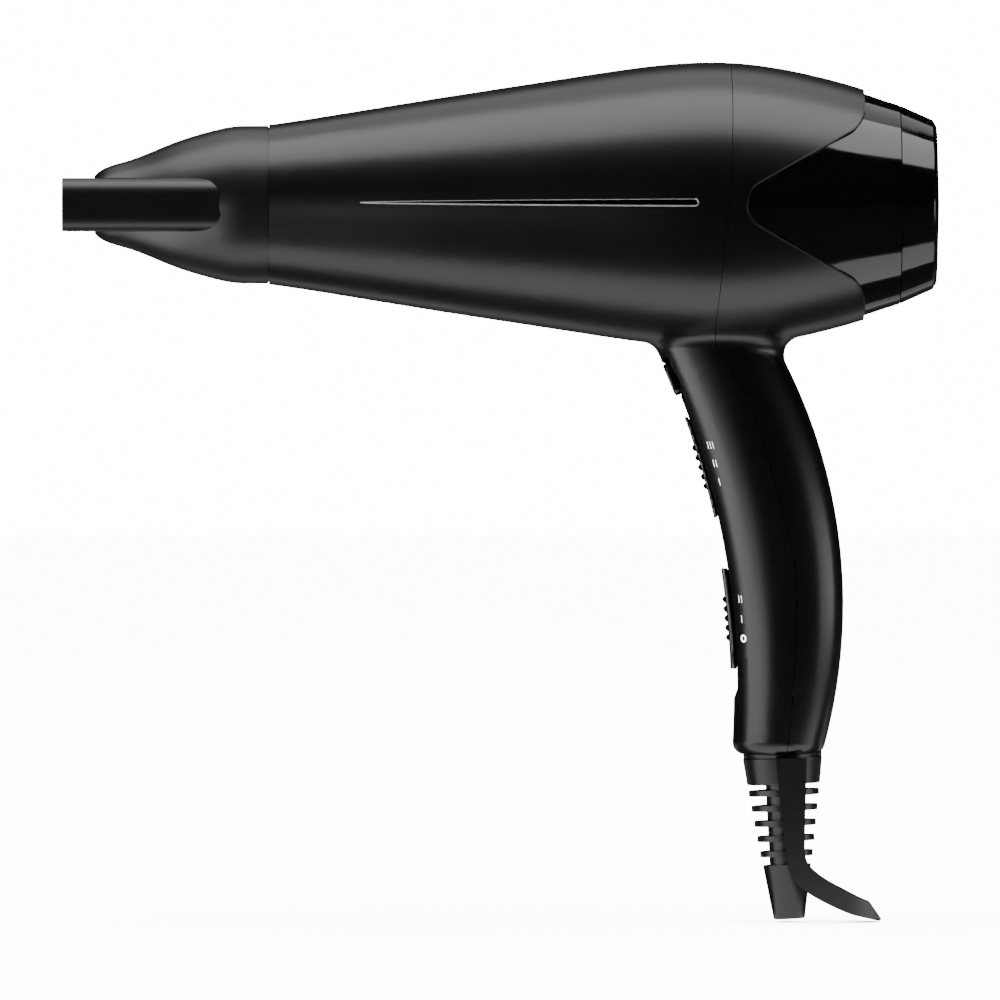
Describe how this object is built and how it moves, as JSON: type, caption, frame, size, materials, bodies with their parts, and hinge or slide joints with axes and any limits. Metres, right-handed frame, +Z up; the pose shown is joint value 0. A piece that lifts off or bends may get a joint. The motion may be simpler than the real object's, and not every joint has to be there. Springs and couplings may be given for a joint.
{
  "type": "hair dryer",
  "caption": "Hand-held electric hair dryer with a turning air-concentrating nozzle, sliding heat and speed switches, a cool-shot button, a removable rear filter cover and a hanging loop.",
  "frame": {"origin": "middle of the grip, where a hand or a holder takes it", "axes": "-X is where the air leaves, +Z up towards the barrel, +Y across the dryer"},
  "size_m": [0.2853, 0.0928, 0.2797],
  "materials": {
    "soft_shell": "soft-touch satin",
    "gloss_black": "high gloss",
    "bright_trim": "polished",
    "nozzle_black": "matt",
    "heat_plastic": "moulded",
    "mica": "layered sheet",
    "heater_wire": "oxidised wire",
    "steel": "drawn",
    "board": "coated board",
    "lead_jacket": "insulation",
    "relief_rubber": "satin rubber",
    "fan_plastic": "moulded"
  },
  "bodies": {
    "dryer": {"housing_front": "soft_shell", "housing_rear": "soft_shell", "rear_trim": "gloss_black", "accent_inlay": "gloss_black", "accent_edge": "bright_trim", "outlet_ring": "heat_plastic", "outlet_grille": "heat_plastic", "heat_shield": "mica", "mica_cross": "mica", "heater_coil": "heater_wire", "thermostat": "steel", "thermal_fuse": "steel", "motor_mount": "heat_plastic", "motor": "steel", "switch_panel": "gloss_black", "heat_switch": "heat_plastic", "speed_switch": "heat_plastic", "cool_switch": "heat_plastic", "circuit_board": "board", "capacitor": "heat_plastic", "leads": "lead_jacket", "strain_relief": "relief_rubber", "cord_clamp": "heat_plastic", "clamp_screws": "steel", "hang_loop": "relief_rubber", "button_bezel": "gloss_black"},
    "filter_cover": {"filter_cover": "gloss_black", "filter_mesh": "steel"},
    "nozzle_sleeve": {"nozzle_sleeve": "heat_plastic"},
    "nozzle": {"nozzle": "nozzle_black"},
    "fan": {"fan": "fan_plastic", "motor_shaft": "steel"},
    "heat_slider": {"heat_slider": "gloss_black"},
    "speed_slider": {"speed_slider": "gloss_black"},
    "cool_button": {"cool_button": "gloss_black"}
  },
  "joints": [
    {"name": "filter_pull", "type": "slide", "parent": "dryer", "child": "filter_cover", "axis": [1, 0, 0], "range_m": [0, 0.03]},
    {"name": "nozzle_pull", "type": "slide", "parent": "dryer", "child": "nozzle_sleeve", "axis": [-1, 0, 0], "range_m": [0, 0.03]},
    {"name": "nozzle_turn", "type": "hinge", "parent": "nozzle_sleeve", "child": "nozzle", "pos_m": [-0.171, 0, 0.1131], "axis": [1, 0, 0], "continuous": true},
    {"name": "fan_spin", "type": "hinge", "parent": "dryer", "child": "fan", "pos_m": [0, 0, 0.1131], "axis": [1, 0, 0], "continuous": true},
    {"name": "heat_select", "type": "hinge", "parent": "dryer", "child": "heat_slider", "pos_m": [-0.2767, 0, -0.0462], "axis": [0, 1, 0], "range_deg": [-1.3, 1.3]},
    {"name": "speed_select", "type": "hinge", "parent": "dryer", "child": "speed_slider", "pos_m": [-0.2767, 0, -0.0462], "axis": [0, 1, 0], "range_deg": [-1.4, 1.4]},
    {"name": "cool_press", "type": "slide", "parent": "dryer", "child": "cool_button", "axis": [0.921, 0, 0.3895], "range_m": [0, 0.0015], "stiffness_N_per_m": 900, "springref_m": -0.0008}
  ]
}
